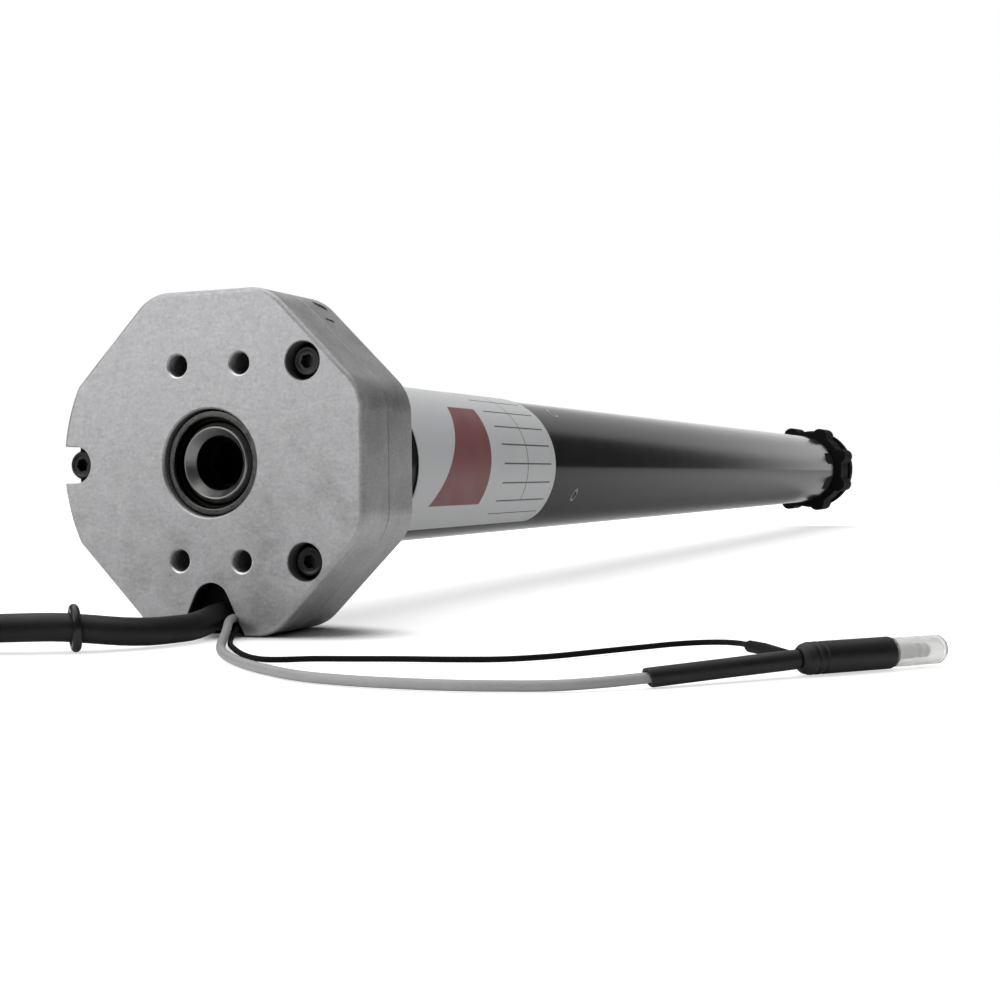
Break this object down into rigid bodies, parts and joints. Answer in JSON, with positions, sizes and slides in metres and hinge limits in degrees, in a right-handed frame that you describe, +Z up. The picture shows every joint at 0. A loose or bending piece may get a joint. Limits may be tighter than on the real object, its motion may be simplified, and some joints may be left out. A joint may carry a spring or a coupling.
{
  "type": "roller shutter motor",
  "caption": "Tubular roller shutter motor: octagonal cast head with crank socket and cable, long dark tube with a rating label, lobed drive wheel at the far end.",
  "frame": {"origin": "under the middle of the motor, on the plane of the head's lower flat, at the bottom centre of the box round the motor without its cords", "axes": "+Y runs along the motor's axis from the head's front face to the drive wheel, +Z is up from the head's lower flat, and +X is to the right when looking at the head's face along +Y"},
  "size_m": [0.2619, 0.9206, 0.081],
  "materials": {
    "cast_aluminium": "cast, fine grain",
    "bright_steel": "machined",
    "black_steel": "black oxide",
    "bronze": "sintered bronze",
    "copper": "bare or enamelled copper",
    "dark_paint": "satin paint on steel",
    "lamination": "stacked sheet steel",
    "black_plastic": "moulded nylon",
    "grey_plastic": "moulded coil case",
    "white_plastic": "capacitor can",
    "board_green": "solder mask",
    "label_white": "printed film",
    "black_rubber": "matt",
    "grey_sheath": "smooth sheath",
    "clear_plastic": "milky, soft"
  },
  "bodies": {
    "head": {"head_cover": "cast_aluminium", "head_housing": "cast_aluminium", "cover_screw_upper": "black_steel", "cover_screw_lower": "black_steel", "cover_screw_side": "black_steel", "retaining_ring": "bright_steel", "socket_bush": "bronze", "planet_plate": "bright_steel", "cable_gland": "black_rubber", "brush_block": "black_plastic", "power_cable": "black_rubber", "cable_coil": "black_rubber", "coil_tie": "black_plastic", "cable_o_ring": "black_rubber", "stripped_end": "black_rubber", "service_lead": "grey_sheath", "aerial_wire": "black_rubber", "lead_sleeve": "black_rubber", "plug_body": "black_rubber", "plug_cap": "clear_plastic", "aerial_tip": "black_rubber"},
    "crank": {"crank_socket": "bright_steel"},
    "crank_planet_1": {"crank_planet_1": "bright_steel"},
    "crank_planet_2": {"crank_planet_2": "bright_steel"},
    "crank_planet_3": {"crank_planet_3": "bright_steel"},
    "tube": {"tube_flange": "cast_aluminium", "slip_ring": "copper", "motor_tube": "dark_paint", "rating_label": "label_white", "control_board": "board_green", "run_capacitor": "white_plastic", "brake_magnet": "grey_plastic", "rear_bracket": "cast_aluminium", "rear_bearing": "bright_steel", "rear_winding": "copper", "stator_core": "lamination", "front_winding": "copper", "front_bracket": "cast_aluminium", "front_bearing": "bright_steel", "ring_gear": "bright_steel", "end_cap": "black_plastic", "output_bush": "bronze"},
    "rotor": {"rotor_core": "lamination", "rotor_shaft": "bright_steel", "brake_disc": "black_steel"},
    "stage_1_planet_1": {"stage_1_planet_1": "bright_steel"},
    "stage_1_planet_2": {"stage_1_planet_2": "bright_steel"},
    "stage_1_planet_3": {"stage_1_planet_3": "bright_steel"},
    "first_carrier": {"first_carrier": "bright_steel"},
    "stage_2_planet_1": {"stage_2_planet_1": "bright_steel"},
    "stage_2_planet_2": {"stage_2_planet_2": "bright_steel"},
    "stage_2_planet_3": {"stage_2_planet_3": "bright_steel"},
    "second_carrier": {"second_carrier": "bright_steel"},
    "stage_3_planet_1": {"stage_3_planet_1": "bright_steel"},
    "stage_3_planet_2": {"stage_3_planet_2": "bright_steel"},
    "stage_3_planet_3": {"stage_3_planet_3": "bright_steel"},
    "output": {"output_shaft": "bright_steel", "drive_wheel": "black_plastic", "wheel_clip": "bright_steel"}
  },
  "joints": [
    {"name": "tube_spin", "type": "hinge", "parent": "head", "child": "tube", "pos_m": [0.00077, 0, 0.0405], "axis": [0, 1, 0], "continuous": true},
    {"name": "crank_spin", "type": "hinge", "parent": "head", "child": "crank", "pos_m": [0.00077, 0, 0.0405], "axis": [0, 1, 0], "continuous": true},
    {"name": "crank_planet_1_spin", "type": "hinge", "parent": "head", "child": "crank_planet_1", "pos_m": [0.00077, 0, 0.05861], "axis": [0, 1, 0], "continuous": true},
    {"name": "crank_planet_2_spin", "type": "hinge", "parent": "head", "child": "crank_planet_2", "pos_m": [-0.01491, 0, 0.03144], "axis": [0, 1, 0], "continuous": true},
    {"name": "crank_planet_3_spin", "type": "hinge", "parent": "head", "child": "crank_planet_3", "pos_m": [0.01646, 0, 0.03144], "axis": [0, 1, 0], "continuous": true},
    {"name": "rotor_spin", "type": "hinge", "parent": "tube", "child": "rotor", "pos_m": [0.00077, 0, 0.0405], "axis": [0, 1, 0], "continuous": true},
    {"name": "first_carrier_spin", "type": "hinge", "parent": "tube", "child": "first_carrier", "pos_m": [0.00077, 0, 0.0405], "axis": [0, 1, 0], "continuous": true},
    {"name": "second_carrier_spin", "type": "hinge", "parent": "tube", "child": "second_carrier", "pos_m": [0.00077, 0, 0.0405], "axis": [0, 1, 0], "continuous": true},
    {"name": "output_spin", "type": "hinge", "parent": "tube", "child": "output", "pos_m": [0.00077, 0, 0.0405], "axis": [0, 1, 0], "continuous": true},
    {"name": "stage_1_planet_1_spin", "type": "hinge", "parent": "first_carrier", "child": "stage_1_planet_1", "pos_m": [0.00077, 0, 0.05139], "axis": [0, 1, 0], "continuous": true},
    {"name": "stage_1_planet_2_spin", "type": "hinge", "parent": "first_carrier", "child": "stage_1_planet_2", "pos_m": [-0.00866, 0, 0.03505], "axis": [0, 1, 0], "continuous": true},
    {"name": "stage_1_planet_3_spin", "type": "hinge", "parent": "first_carrier", "child": "stage_1_planet_3", "pos_m": [0.01021, 0, 0.03505], "axis": [0, 1, 0], "continuous": true},
    {"name": "stage_2_planet_1_spin", "type": "hinge", "parent": "second_carrier", "child": "stage_2_planet_1", "pos_m": [0.00077, 0, 0.05139], "axis": [0, 1, 0], "continuous": true},
    {"name": "stage_2_planet_2_spin", "type": "hinge", "parent": "second_carrier", "child": "stage_2_planet_2", "pos_m": [-0.00866, 0, 0.03505], "axis": [0, 1, 0], "continuous": true},
    {"name": "stage_2_planet_3_spin", "type": "hinge", "parent": "second_carrier", "child": "stage_2_planet_3", "pos_m": [0.01021, 0, 0.03505], "axis": [0, 1, 0], "continuous": true},
    {"name": "stage_3_planet_1_spin", "type": "hinge", "parent": "output", "child": "stage_3_planet_1", "pos_m": [0.00077, 0, 0.05139], "axis": [0, 1, 0], "continuous": true},
    {"name": "stage_3_planet_2_spin", "type": "hinge", "parent": "output", "child": "stage_3_planet_2", "pos_m": [-0.00866, 0, 0.03505], "axis": [0, 1, 0], "continuous": true},
    {"name": "stage_3_planet_3_spin", "type": "hinge", "parent": "output", "child": "stage_3_planet_3", "pos_m": [0.01021, 0, 0.03505], "axis": [0, 1, 0], "continuous": true}
  ],
  "couplings": [
    {"joint": "crank_spin", "follows": "tube_spin", "ratio": -3},
    {"joint": "crank_planet_1_spin", "follows": "tube_spin", "ratio": 3},
    {"joint": "crank_planet_2_spin", "follows": "tube_spin", "ratio": 3},
    {"joint": "crank_planet_3_spin", "follows": "tube_spin", "ratio": 3},
    {"joint": "first_carrier_spin", "follows": "rotor_spin", "ratio": 0.1875},
    {"joint": "second_carrier_spin", "follows": "rotor_spin", "ratio": 0.035156},
    {"joint": "output_spin", "follows": "rotor_spin", "ratio": 0.0065918},
    {"joint": "stage_1_planet_1_spin", "follows": "rotor_spin", "ratio": -0.4875},
    {"joint": "stage_1_planet_2_spin", "follows": "rotor_spin", "ratio": -0.4875},
    {"joint": "stage_1_planet_3_spin", "follows": "rotor_spin", "ratio": -0.4875},
    {"joint": "stage_2_planet_1_spin", "follows": "rotor_spin", "ratio": -0.091406},
    {"joint": "stage_2_planet_2_spin", "follows": "rotor_spin", "ratio": -0.091406},
    {"joint": "stage_2_planet_3_spin", "follows": "rotor_spin", "ratio": -0.091406},
    {"joint": "stage_3_planet_1_spin", "follows": "rotor_spin", "ratio": -0.017139},
    {"joint": "stage_3_planet_2_spin", "follows": "rotor_spin", "ratio": -0.017139},
    {"joint": "stage_3_planet_3_spin", "follows": "rotor_spin", "ratio": -0.017139}
  ]
}
